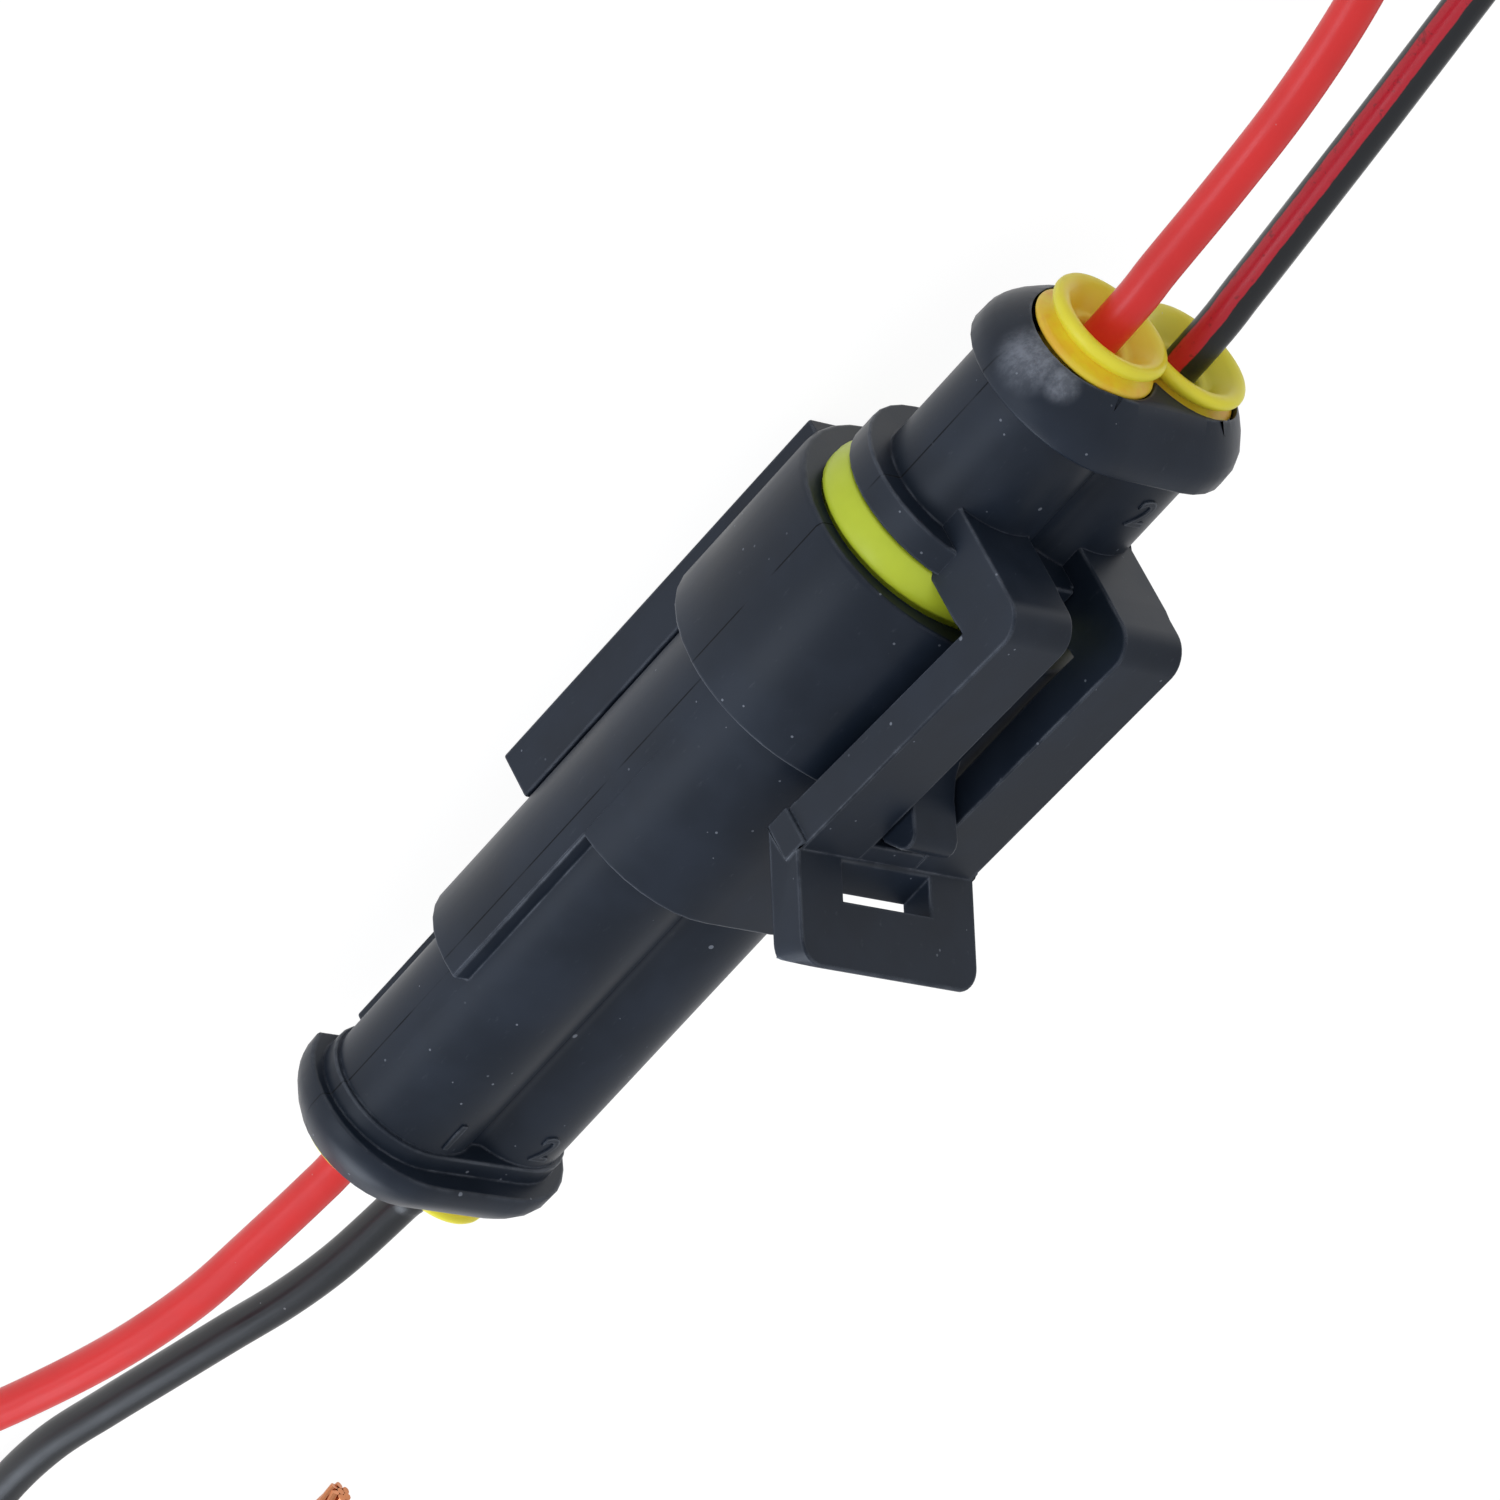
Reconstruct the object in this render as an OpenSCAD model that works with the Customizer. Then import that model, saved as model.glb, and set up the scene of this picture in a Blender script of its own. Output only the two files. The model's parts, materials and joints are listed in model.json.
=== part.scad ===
// Sealed two-way wire-to-wire connector, shown mated: a plug with a lifting
// latch is locked into a cap, and two wires leave each end.
// X runs along the mating axis towards the plug's wires, Z points to the latch.
// Millimetres. The clip rails stand on the plane z = 0.

/* [Contacts] */
// Spacing of the two contact cavities
pitch = 6; // [5.9:0.1:6.3]
// Bore of a wire seal pocket
seal_bore = 5.5; // [5.2:0.1:5.6]
// Bore of a contact passage
contact_bore = 3.6; // [3.3:0.1:3.8]
// Diameter of the contact pin
pin_d = 1.5; // [1.2:0.1:1.6]
// Diameter of a wire over its insulation
wire_d = 2; // [1.7:0.1:2.2]

/* [Cap housing] */
// Height of the contact axis above the foot of the clip rails
axis_height = 8.05; // [8:0.05:9]
// Width of the shroud
shroud_w = 18.5; // [18.3:0.1:19]
// Height of the shroud
shroud_h = 15; // [14.8:0.1:15.2]
// Radius of the shroud's ends
shroud_end_r = 6.8; // [6.4:0.1:7.1]
// Depth of the shroud below the contact axis
shroud_drop = 7.85; // [7.6:0.05:7.9]
// Length of the shroud
shroud_len = 10; // [9.8:0.1:10.2]
// Wall beside the seal cavity
shroud_wall = 1; // [0.8:0.1:1.2]
// Depth of the seal cavity
cavity_step = 8.6; // [8.2:0.1:8.9]
// Width of the middle section
middle_w = 15.8; // [15.6:0.1:16.2]
// Height of the middle section
middle_h = 11.4; // [11.2:0.1:12]
// Length of the middle section
middle_len = 10.9; // [10.5:0.1:12]
// Length of the slab behind the middle section
slab_len = 10.5; // [8:0.5:12]
// Height of the slab's shoulder above the contact axis
slab_shoulder = 1.1; // [0.6:0.1:1.8]
// Length of the two-lobed tail behind the slab
tail_len = 9.9; // [9:0.1:12]
// Half width of the tail's foot where it meets the flange
foot_half = 7.3; // [7.2:0.1:7.6]

/* [Plug housing] */
// Gap between the cap's mouth and the plug's collar
seal_gap = 2; // [1.9:0.05:2.3]
// Width of the collar
collar_w = 16.5; // [16.2:0.1:17]
// Height of the collar
collar_h = 11; // [10.8:0.1:11.4]
// Thickness of the collar
collar_t = 1.6; // [1.4:0.1:1.8]
// Length of the two-lobed body between collar and flange
body_len = 7; // [6.6:0.1:9]
// Radius of each lobe round a cavity
lobe_r = 4; // [3.9:0.05:4.1]
// Half height of the web between the lobes
web_half = 3; // [2.8:0.1:3.5]
// Width of the nose inside the cap
nose_w = 13.2; // [13:0.1:13.3]
// Height of the nose inside the cap
nose_h = 8.8; // [8.6:0.1:9]
// Length of the nose ahead of the mouth plane
nose_len = 17.5; // [17:0.1:18]
// Clearance of the nose in the cap
nose_play = 0.2; // [0.15:0.05:0.3]

/* [Rear flanges] */
// Width of the cap's flange
cap_flange_w = 15.8; // [15.6:0.1:16.4]
// Height of the cap's flange
cap_flange_h = 10.8; // [10.6:0.1:11.2]
// Thickness of the cap's flange
cap_flange_t = 2.8; // [2.6:0.1:3.4]
// Width of the plug's flange
plug_flange_w = 15.7; // [15.5:0.1:16.4]
// Height of the plug's flange
plug_flange_h = 11; // [10.9:0.1:11.6]
// Depth of the plug's flange below the contact axis
plug_flange_drop = 5.1; // [4.9:0.05:5.4]
// Thickness of the plug's flange
plug_flange_t = 3.3; // [3:0.1:3.8]
// Depth of the crown on the cap's flange
cap_crown = 1.3; // [0.8:0.1:1.4]
// Depth of the crown on the plug's flange
plug_crown = 1.8; // [1.4:0.1:1.9]
// Width of the notch in the cap's flange
notch_w = 11.6; // [11:0.1:11.8]
// Depth of the lip recess in each rear face
recess_t = 1.25; // [1.2:0.05:1.4]

/* [Clip rails] */
// Outer width over the two rails
rail_w = 9.6; // [9.2:0.1:10.4]
// Length of the rails
rail_len = 24.4; // [22:0.2:30]
// Distance from the mouth to the rails' front end
rail_inset = 0.6; // [0.4:0.1:1.2]
// Thickness of a rail's wall
rail_wall = 2; // [1.6:0.1:2.2]
// Gap between the two lips
rail_gap = 4; // [3.4:0.1:4.6]
// Thickness of a lip
rail_lip = 1; // [0.8:0.1:1.2]
// Width of the spine under the tail
spine_w = 5.2; // [4:0.2:6]
// Depth of the spine below the contact axis
spine_drop = 5.75; // [5.4:0.05:6.2]

/* [Latch] */
// Outer width over the two arms
arms_w = 11.6; // [11.2:0.1:11.8]
// Gap between the two arms
arms_gap = 3.6; // [3.5:0.1:4.2]
// Thickness of an arm
arm_t = 2.2; // [2:0.1:2.3]
// Height of the arms' top above the contact axis at the bend
arm_top = 9.95; // [9.9:0.05:10.4]
// Fall of the arms towards the crossbar
arm_fall = 0.5; // [0.3:0.05:0.6]
// Thickness of a leg along the mating axis
leg_t = 3.26; // [3.1:0.02:3.3]
// Distance from the mouth to a leg's rear face
leg_x = 4.9; // [4.9:0.1:5.4]
// Outer radius of the bend
bend_r = 1.5; // [1.2:0.1:1.8]
// Height of the hinge line above the contact axis
hinge_z = 6.9; // [6.8:0.05:7]
// Distance from the mouth to the crossbar's front face
window_end = 10.7; // [10.6:0.05:11.2]
// Depth of the crossbar
crossbar_t = 2; // [1.8:0.1:2.6]
// Width of the thumb plate and the crossbar
plate_w = 12; // [11.9:0.1:13]
// Height of the thumb plate along its slope
plate_len = 5.5; // [4.6:0.1:7]
// Thickness of the thumb plate
plate_t = 1.9; // [1.6:0.05:2.1]
// Lean of the thumb plate from upright
plate_lean = 30; // [24:1:34]
// Radius of the thumb plate's corners
plate_corner = 1.3; // [0.8:0.1:2]
// Width of the slot in the thumb plate
slot_w = 6; // [5:0.1:7]
// Height of the slot in the thumb plate
slot_h = 1.65; // [1.4:0.05:2]
// Width of the locking catch
catch_w = 3; // [2.6:0.1:3.1]
// Height of the catch above the contact axis
catch_top = 10.8; // [10.4:0.1:10.9]
// Length of the catch along the mating axis
catch_len = 4.6; // [4.2:0.1:5.2]
// Play between the catch and the crossbar
latch_play = 0.4; // [0.4:0.05:0.6]

/* [Seals] */
// Width of the interface seal's outer rim
ring_w = 17.2; // [17:0.1:17.4]
// Height of the interface seal's outer rim
ring_h = 12; // [11.8:0.1:12.2]
// Radius of the interface seal's ends
ring_end_r = 5.4; // [5.2:0.1:5.6]
// Radius of a wire seal's flared lip
lip_r = 3.4; // [3.3:0.05:3.45]
// Reach of the first plug lip beyond its rear face
plug_proud_1 = 1.4; // [1.35:0.05:1.6]
// Reach of the second plug lip beyond its rear face
plug_proud_2 = 0.8; // [0.7:0.05:0.8]
// Reach of the first cap lip beyond its rear face
cap_proud_1 = 0.75; // [0.7:0.05:0.8]
// Reach of the second cap lip beyond its rear face
cap_proud_2 = 1.7; // [1.6:0.05:1.8]

/* [Wires] */
// Diameter of the bare strands
strand_d = 1.3; // [1:0.1:1.4]
// Length stripped at each far end
strip_len = 6; // [4:0.5:10]

/* [Hidden] */

housing_black = "#2b3138";
seal_yellow = "#ebdc2d";
ring_green = "#c8d72d";
lock_white = "#e8e6dc";
contact_tin = "#b9bcc0";
strand_copper = "#c07a4a";
wire_red = "#eb3a37";
wire_black = "#2d3037";

arc_steps = 9;                         // facets in a quarter of an outline
round_fn = 64;
fit = 0.05;                            // clearance between assembled pieces
arch_gap = 0.3;                        // space between the arms and the shroud
side_gap = 0.2;                        // space beside the latch's parts
bulge = 0.08;                          // how far the latch's root swells past its leg
overrun = 1;                           // how far a cut runs past a face
blend_in = 0.5;                        // how far joined solids run into each other

// Stations along the mating axis, from the mouth of the cap
x_step = -shroud_len;
x_middle = x_step - middle_len;
x_slab = x_middle - slab_len;
x_tail = x_slab - tail_len;
x_cap_rear = x_tail - cap_flange_t;
x_collar = seal_gap;
x_body = x_collar + collar_t;
x_flange = x_body + body_len;
x_plug_rear = x_flange + plug_flange_t;
x_mid = (x_plug_rear + plug_proud_1 + x_cap_rear - cap_proud_2) / 2;

// Inner steps
seal_pocket = 8.4;                     // depth of a wire seal pocket
nose_room = 0.8;                       // space ahead of the nose
lock_t = 2.4;                          // thickness of a contact lock
lock_w = 10;
lock_h = 6.4;
x_nose = -nose_len;
x_nose_lock = x_nose + lock_t;
x_cavity = x_nose - nose_room;
x_cap_lock = x_cavity - lock_t;
recess_r = lip_r + fit;                // lip recess in a rear face
// Steps of a flange's rear edge: share of its thickness, share of its crown
crown_steps = [[0, 0.06], [0.06, 0], [0.34, 0.02], [0.5, 0.13], [0.66, 0.34], [0.84, 0.65], [1, 1]];
foot_rise = 1.2;                       // how far the tail's foot stands above the web
foot_t = 1;

// Latch
hinge_x = leg_x - leg_t / 2;
root_r = leg_t / 2 + bulge;
arm_end = arm_top - arm_fall;          // height of the crossbar's top
bar_z = arm_end - arm_t;               // height of the crossbar's foot
ledge_x = -window_end - 0.5;           // front of the crossbar outside the arms
plate_x = ledge_x - 0.5;               // front of the thumb plate at its root
plate_fall = 0.6;                      // how far the plate's end falls from front to back
plate_edge = 0.2;                      // flat at the front of the plate's end
slot_rise = 0.15;                      // foot of the slot above the crossbar
x_catch = -window_end + latch_play;    // back of the locking catch
catch_sink = 0.2;                      // how far the foot of its ramp lies below the shroud's crest
// Steps of the catch's nose: distance from its back, depth below its top
catch_nose = [[0, 1.3], [0.6, 0.3], [0.9, 0.05], [1.2, 0], [1.5, 0.07], [1.8, 0.3]];
// Steps of its ramp: distance from its front, share of its height
catch_ramp = [[1.85, 0.4], [1.2, 0.17], [0.6, 0.05], [0, 0]];

// Contacts
contact_r = contact_bore / 2 - fit;
neck_r = contact_r * 0.65;
socket_depth = 7.5;
socket_len = 8.5;
crimp_len = 4.5;
head_len = 2.8;                        // full width behind the pin
neck_run = 0.6;                        // length of the slope down to the neck
x_socket = x_nose_lock + fit;
x_plug_crimp = x_socket + socket_len + 9;
x_pin_tip = x_socket + 5.5;
x_pin_body = x_cap_lock - fit;
x_cap_crimp = x_pin_body - 10.5;

// Wire routes beyond the rear face: distance out, shift across, height from the contact axis
plug_route_1 = [[5, -0.1, -0.3], [10, -0.2, -0.7], [15, -0.2, -1.2], [20, 0, -2], [25, 0.5, -3.1],
    [30, 1.2, -4.4], [35, 2, -5.7], [40, 3.2, -6.7], [44, 5.2, -7], [47.4, 8.4, -7], [49.2, 12.6, -7],
    [48.8, 17.2, -7], [46, 20.8, -7], [41.6, 22.6, -7], [36.6, 22.8, -7], [31.6, 22.2, -7],
    [26.6, 21.4, -7]];
plug_route_2 = [[5, 0, -0.3], [10, 0, -0.8], [15, -0.1, -1.4], [20, -0.4, -2.2], [25, -0.9, -3.2],
    [30, -1.5, -4.5], [35, -2.2, -5.8], [40, -3.4, -6.8], [44, -5.4, -7], [47.2, -8.6, -7],
    [48.8, -12.8, -7], [48.2, -17.4, -7], [45.2, -21, -7], [40.8, -22.8, -7], [35.8, -23.2, -7],
    [30.8, -22.8, -7], [25.8, -22.2, -7]];
cap_route_1 = [[4, 0, -0.1], [9, 0, -0.5], [13, 0, -0.9], [17, 0.2, -1.6], [21, 0.5, -2.6],
    [25.6, 1, -4], [30, 1.8, -5.4], [34.6, 3.2, -6.6], [38.8, 5.4, -7], [42, 8.8, -7],
    [43.6, 13.2, -7], [43, 17.8, -7], [40, 21.4, -7], [35.6, 23.2, -7], [30.6, 23.6, -7],
    [25.6, 23.2, -7], [20.6, 22.6, -7]];
cap_route_2 = [[4, -0.1, -0.2], [9, -0.2, -0.7], [13, -0.1, -1.4], [17, 0.1, -2.4], [21.6, 0.2, -3.6],
    [26, 0.2, -4.8], [30.6, 0.1, -6], [35.4, -0.6, -6.8], [40.4, -1.8, -7], [45, -3.4, -7],
    [49.4, -6, -7], [52.4, -9.8, -7], [53.4, -14.4, -7], [51.8, -18.8, -7], [48.2, -21.6, -7],
    [43.6, -22.6, -7], [38.6, -22.6, -7]];

// ---------- outlines: y across, z up ----------
function arc(cx, cy, r, a0, a1, n) =
    [for (i = [0:n]) [cx + r * cos(a0 + (a1 - a0) * i / n), cy + r * sin(a0 + (a1 - a0) * i / n)]];

// Round-ended outline of half width w and half height h
function stadium(w, h) = concat(
    arc(w - h, 0, h, -90, 90, 2 * arc_steps),
    arc(h - w, 0, h, 90, 270, 2 * arc_steps));

// Four-centre oval: half width w, half height h, end radius r
function oval(w, h, r) =
    let (a = w - r, d = h - r, k = (a * a - d * d) / (2 * d), t = atan2(k, a), n = 2 * arc_steps)
    concat(arc(a, 0, r, -t, t, n),
           [for (i = [1:n - 1]) let (s = t + (180 - 2 * t) * i / n)
               [(k + h) * cos(s), (k + h) * sin(s) - k]],
           arc(-a, 0, r, 180 - t, 180 + t, n),
           [for (i = [1:n - 1]) let (s = 180 + t + (180 - 2 * t) * i / n)
               [(k + h) * cos(s), (k + h) * sin(s) + k]]);

// Points of an outline above the contact axis (side 1) or below it (side -1), in turning order
function half(outline, side) =
    let (n = len(outline), end = side * max([for (p = outline) p[0]]))
    concat([[end, 0]],
           [for (i = [1:n]) let (p = outline[(i + arc_steps) % n]) if (side * p[1] > 0.001) p]);

// Two lobes joined by a web
module lobes() {
    for (s = [-1, 1]) translate([s * pitch / 2, 0]) circle(r = lobe_r, $fn = round_fn);
    square([pitch, 2 * web_half], center = true);
}

// ---------- solids in the connector's own frame ----------
module place() translate([-x_mid, 0, axis_height]) children();

// Outline extruded along the mating axis
module prism(x0, x1)
    translate([x0, 0, 0]) rotate([90, 0, 90]) linear_extrude(x1 - x0) children();

// Round bar or bore along the mating axis
module rod(x0, x1, r, y = 0)
    translate([x0, y, 0]) rotate([0, 90, 0]) cylinder(h = x1 - x0, r = r, $fn = round_fn);

// Side profile of x and z, extruded across from y0 to y1
module side_plate(y0, y1)
    translate([0, y1, 0]) rotate([90, 0, 0]) linear_extrude(y1 - y0) children();

// Profile of [radius, x] turned about the mating axis
module turned(y) translate([0, y, 0]) rotate([0, 90, 0]) rotate_extrude($fn = round_fn) children();

module both_sides() for (s = [0, 1]) mirror([0, s, 0]) children();

function side_y(i) = (i == 1 ? 1 : -1) * pitch / 2;

// Solid through rings of equal point count, given as [x, outline] in rising x
module loft(rings) {
    n = len(rings[0][1]);
    last = (len(rings) - 1) * n;
    polyhedron(
        points = [for (r = rings) for (p = r[1]) [r[0], p[0], p[1]]],
        faces = concat(
            [[for (j = [0:n - 1]) j]],
            [[for (j = [n - 1:-1:0]) last + j]],
            [for (i = [0:len(rings) - 2]) for (j = [0:n - 1])
                [i * n + j, (i + 1) * n + j, (i + 1) * n + (j + 1) % n, i * n + (j + 1) % n]]),
        convexity = 4);
}

// ---------- cap ----------
module clip_rails() translate([-rail_inset - rail_len, 0, -axis_height]) both_sides() {
    translate([0, rail_w / 2 - rail_wall, 0]) cube([rail_len, rail_wall, axis_height - nose_h / 2 - 1]);
    translate([0, rail_gap / 2, 0]) cube([rail_len, (rail_w - rail_gap) / 2 - blend_in, rail_lip]);
}

// Catch with a steep hollow ramp towards the mouth and a chamfered back
module locking_catch() side_plate(-catch_w / 2, catch_w / 2) {
    foot = shroud_h / 2 - catch_sink;
    sunk = middle_h / 2 - blend_in;
    front = x_catch + catch_len;
    polygon(concat(
        [[x_catch, sunk]],
        [for (p = catch_nose) [x_catch + p[0], catch_top - p[1]]],
        [for (p = catch_ramp) [front - p[0], foot + p[1] * (catch_top - foot)]],
        [[front, sunk]]));
}

// Rings of a flange from its front face to its crowned rear face, running along dir;
// the rear face lies as far below the contact axis as above it
function crowned(x, dir, w, h, drop, t, crown) =
    [for (s = crown_steps) let (x_ring = x + dir * s[0] * t, end = w / 2 - s[1] * crown)
        [x_ring, concat(half(stadium(end, h / 2 - s[1] * crown), 1),
                        half(stadium(end, drop - s[1] * (drop + crown - h / 2)), -1))]];

function reversed(list) = [for (i = [len(list) - 1:-1:0]) list[i]];

module cap_flange() difference() {
    loft(reversed(crowned(x_tail, -1, cap_flange_w, cap_flange_h, cap_flange_h / 2, cap_flange_t, cap_crown)));
    translate([x_cap_rear - overrun, -notch_w / 2, -cap_flange_h])
        cube([cap_flange_t + 2 * overrun, notch_w, cap_flange_h - web_half - foot_rise]);
}

// Outline of the shroud drawn in by inset: an oval above the contact axis, round-ended below it
function shroud(inset) = concat(
    half(oval(shroud_w / 2 - inset, shroud_h / 2 - inset, shroud_end_r - inset), 1),
    half(stadium(shroud_w / 2 - inset, shroud_drop - inset), -1));

module cap_shell() {
    rim = 0.15;
    loft([[x_step, shroud(0)], [-2 * rim, shroud(0)], [0, shroud(rim)]]);
    prism(x_middle, x_step + blend_in) polygon(stadium(middle_w / 2, middle_h / 2));
    intersection() {
        prism(x_slab, x_middle + blend_in) polygon(stadium(middle_w / 2, middle_h / 2));
        translate([x_slab - overrun, -middle_w, -middle_h])
            cube([slab_len + 2 * overrun, 2 * middle_w, middle_h + slab_shoulder]);
    }
    prism(x_cap_rear + cap_flange_t / 2, x_middle + blend_in) lobes();
    prism(x_tail - blend_in, x_tail + foot_t) polygon(stadium(foot_half, web_half + foot_rise));
    translate([x_tail, -spine_w / 2, -spine_drop])
        cube([tail_len + blend_in, spine_w, spine_drop - web_half + blend_in]);
    cap_flange();
    clip_rails();
    locking_catch();
}

module cap_housing() color(housing_black) place() difference() {
    cap_shell();
    prism(-cavity_step, overrun)
        polygon(oval(shroud_w / 2 - shroud_wall, ring_h / 2 - 0.2, ring_end_r));
    prism(x_cavity, -cavity_step + blend_in)
        polygon(stadium(nose_w / 2 + nose_play, nose_h / 2 + nose_play));
    prism(x_cap_lock, x_cavity + blend_in)
        polygon(stadium(lock_w / 2 + fit, lock_h / 2 + fit));
    for (i = [1, 2]) {
        rod(x_cap_rear + seal_pocket - blend_in, x_cap_lock + blend_in, contact_bore / 2, side_y(i));
        rod(x_cap_rear - overrun, x_cap_rear + seal_pocket, seal_bore / 2, side_y(i));
        rod(x_cap_rear - overrun, x_cap_rear + recess_t, recess_r, side_y(i));
    }
}

// ---------- plug ----------
module root_seat(extra) both_sides()
    side_plate(arms_gap / 2 - extra, arms_w / 2 + extra)
        translate([hinge_x, hinge_z]) circle(r = root_r + fit, $fn = round_fn);

module leg_stubs() both_sides()
    side_plate(arms_gap / 2, arms_w / 2)
        translate([x_collar, nose_h / 2 - 2]) square([leg_x - x_collar, hinge_z - nose_h / 2 + 1.5]);

module plug_shell() {
    prism(x_nose, x_collar + blend_in) polygon(stadium(nose_w / 2, nose_h / 2));
    prism(x_collar, x_body) polygon(stadium(collar_w / 2, collar_h / 2));
    prism(x_body - blend_in, x_flange + blend_in) lobes();
    loft(crowned(x_flange, 1, plug_flange_w, plug_flange_h, plug_flange_drop, plug_flange_t, plug_crown));
    leg_stubs();
}

module plug_housing() color(housing_black) place() difference() {
    plug_shell();
    root_seat(side_gap);
    for (i = [1, 2]) {
        rod(x_nose_lock - blend_in, x_plug_rear - seal_pocket + blend_in, contact_bore / 2, side_y(i));
        rod(x_plug_rear - seal_pocket, x_plug_rear + overrun, seal_bore / 2, side_y(i));
        rod(x_plug_rear - recess_t, x_plug_rear + overrun, recess_r, side_y(i));
    }
    prism(x_nose - overrun, x_nose_lock) polygon(stadium(lock_w / 2 + fit, lock_h / 2 + fit));
}

// ---------- latch ----------
module arm_profile() {
    x_end = ledge_x - blend_in;
    translate([hinge_x, hinge_z]) circle(r = root_r, $fn = round_fn);
    polygon(concat(
        [[leg_x - leg_t, hinge_z], [leg_x, hinge_z]],
        arc(leg_x - bend_r, arm_top - bend_r, bend_r, 0, 90, arc_steps),
        [[x_end, arm_end], [x_end, bar_z], [leg_x - leg_t, arm_top - arm_t]]));
}

// Thumb plate standing on its own slope, with a free end that falls towards its back
module thumb_plate() translate([plate_x, 0, arm_end]) rotate([0, -plate_lean, 0]) intersection() {
    w = plate_w / 2;
    c = plate_corner;
    prism(-plate_t, 0) polygon(concat([[-w, -arm_t * 2], [w, -arm_t * 2]],
        arc(w - c, plate_len - c, c, 0, 90, arc_steps),
        arc(c - w, plate_len - c, c, 90, 180, arc_steps)));
    side_plate(-plate_w, plate_w) polygon([[-plate_t - overrun, -arm_t * 3], [overrun, -arm_t * 3],
        [overrun, plate_len], [-plate_edge, plate_len], [-plate_t, plate_len - plate_fall],
        [-plate_t - overrun, plate_len - 2 * plate_fall]]);
}

module latch_lever() color(housing_black) place() difference() {
    union() {
        both_sides() side_plate(arms_gap / 2, arms_w / 2) arm_profile();
        translate([-window_end - crossbar_t, -arms_w / 2, bar_z]) cube([crossbar_t, arms_w, arm_t]);
        translate([-window_end - crossbar_t, -plate_w / 2, bar_z])
            cube([ledge_x + window_end + crossbar_t, plate_w, arm_t]);
        intersection() {
            thumb_plate();
            translate([ledge_x - 3 * plate_len, -plate_w, bar_z])
                cube([3 * plate_len, 2 * plate_w, 2 * plate_len]);
        }
    }
    translate([plate_x - 3 * plate_t, -slot_w / 2, arm_end + slot_rise]) cube([3 * plate_t, slot_w, slot_h]);
    prism(x_step - arch_gap, leg_x - leg_t)
        polygon(oval(shroud_w / 2 + arch_gap, shroud_h / 2 + arch_gap, shroud_end_r + arch_gap));
}

// ---------- seals ----------
module interface_seal() color(ring_green) place() {
    w = ring_w / 2;
    h = ring_h / 2;
    tuck = 0.5;
    rib_w = shroud_w / 2 - shroud_wall - fit;
    rib_h = h - 0.2 - fit;
    groove = 0.5;
    difference() {
        union() {
            prism(1.5 - cavity_step, 0.4) polygon(oval(rib_w - groove, rib_h - groove, ring_end_r - groove));
            for (x = [-6, -4, -2]) prism(x, x + 0.8) polygon(oval(rib_w, rib_h, ring_end_r - fit));
            loft([[0.15, oval(w - 0.15, h - 0.15, ring_end_r)],
                  [0.45, oval(w, h, ring_end_r)],
                  [1.1, oval(w - 0.1, h - 0.1, ring_end_r)],
                  [seal_gap - fit, oval(w - tuck, h - tuck, ring_end_r - 0.3)]]);
        }
        prism(-cavity_step, seal_gap + overrun) polygon(stadium(nose_w / 2 + fit, nose_h / 2 + fit));
    }
}

// Wire seal turned about its wire: body in the pocket, then two lips, the tip reaching to proud
module wire_seal(proud) {
    hole = wire_d / 2 + fit;
    body = seal_bore / 2 - fit;
    core = body - 0.35;
    rotate([0, 90, 0]) rotate_extrude($fn = round_fn) polygon([
        [hole, -6.4], [core, -6.4], [core, -6], [body, -5.7], [body, -5.3], [core, -5],
        [core, -4.2], [body, -3.9], [body, -3.5], [core, -3.2], [core, proud - 2.1],
        [lip_r - 0.2, proud - 1.6], [lip_r - 0.2, proud - 1.45],
        [lip_r - 0.9, proud - 0.85], [lip_r - 0.9, proud - 0.75],
        [lip_r, proud - 0.1], [lip_r, proud], [lip_r - 0.25, proud],
        [hole + 0.5, proud - 0.9], [hole, proud - 1.8]]);
}

module plug_wire_seal(i) color(seal_yellow) place()
    translate([x_plug_rear, side_y(i), 0]) wire_seal(i == 1 ? plug_proud_1 : plug_proud_2);

module cap_wire_seal(i) color(seal_yellow) place()
    translate([x_cap_rear, side_y(i), 0]) mirror([1, 0, 0]) wire_seal(i == 1 ? cap_proud_1 : cap_proud_2);

// ---------- contacts and their locks ----------
module lock_plate(x0, x1) color(lock_white) place() difference() {
    prism(x0, x1) polygon(stadium(lock_w / 2, lock_h / 2));
    for (i = [1, 2]) rod(x0 - overrun, x1 + overrun, pin_d / 2 + 2 * fit, side_y(i));
}

module plug_contact_lock() lock_plate(x_nose, x_nose_lock - fit);

module cap_contact_lock() lock_plate(x_cap_lock + fit, x_cavity);

module socket_contact(i) color(contact_tin) place() turned(side_y(i)) polygon([
    [pin_d / 2 + fit, x_socket], [contact_r - 0.2, x_socket], [contact_r, x_socket + 0.4],
    [contact_r, x_socket + socket_len], [neck_r, x_socket + socket_len + neck_run],
    [neck_r, x_plug_crimp - crimp_len - neck_run], [contact_r, x_plug_crimp - crimp_len],
    [contact_r, x_plug_crimp], [0, x_plug_crimp], [0, x_socket + socket_depth],
    [pin_d / 2 + fit, x_socket + socket_depth]]);

module pin_contact(i) color(contact_tin) place() turned(side_y(i)) polygon([
    [0, x_cap_crimp], [contact_r, x_cap_crimp], [contact_r, x_cap_crimp + crimp_len],
    [neck_r, x_cap_crimp + crimp_len + neck_run], [neck_r, x_pin_body - head_len - neck_run],
    [contact_r, x_pin_body - head_len], [contact_r, x_pin_body], [pin_d / 2, x_pin_body],
    [pin_d / 2, x_pin_tip - 0.6], [pin_d / 4, x_pin_tip], [0, x_pin_tip]]);

// ---------- wires ----------
function unit(v) = v / norm(v);

// Points of a wire from its crimp, straight through its seal, then along its route
function wire_path(x_crimp, x_rear, proud, y, dir, route) = concat(
    [[x_crimp, y, 0], [x_rear + dir * proud, y, 0]],
    [for (p = route) [x_rear + dir * p[0], y + p[1], p[2]]]);

function heading(path, i) =
    unit(path[min(i + 1, len(path) - 1)] - path[max(i - 1, 0)]);

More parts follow.
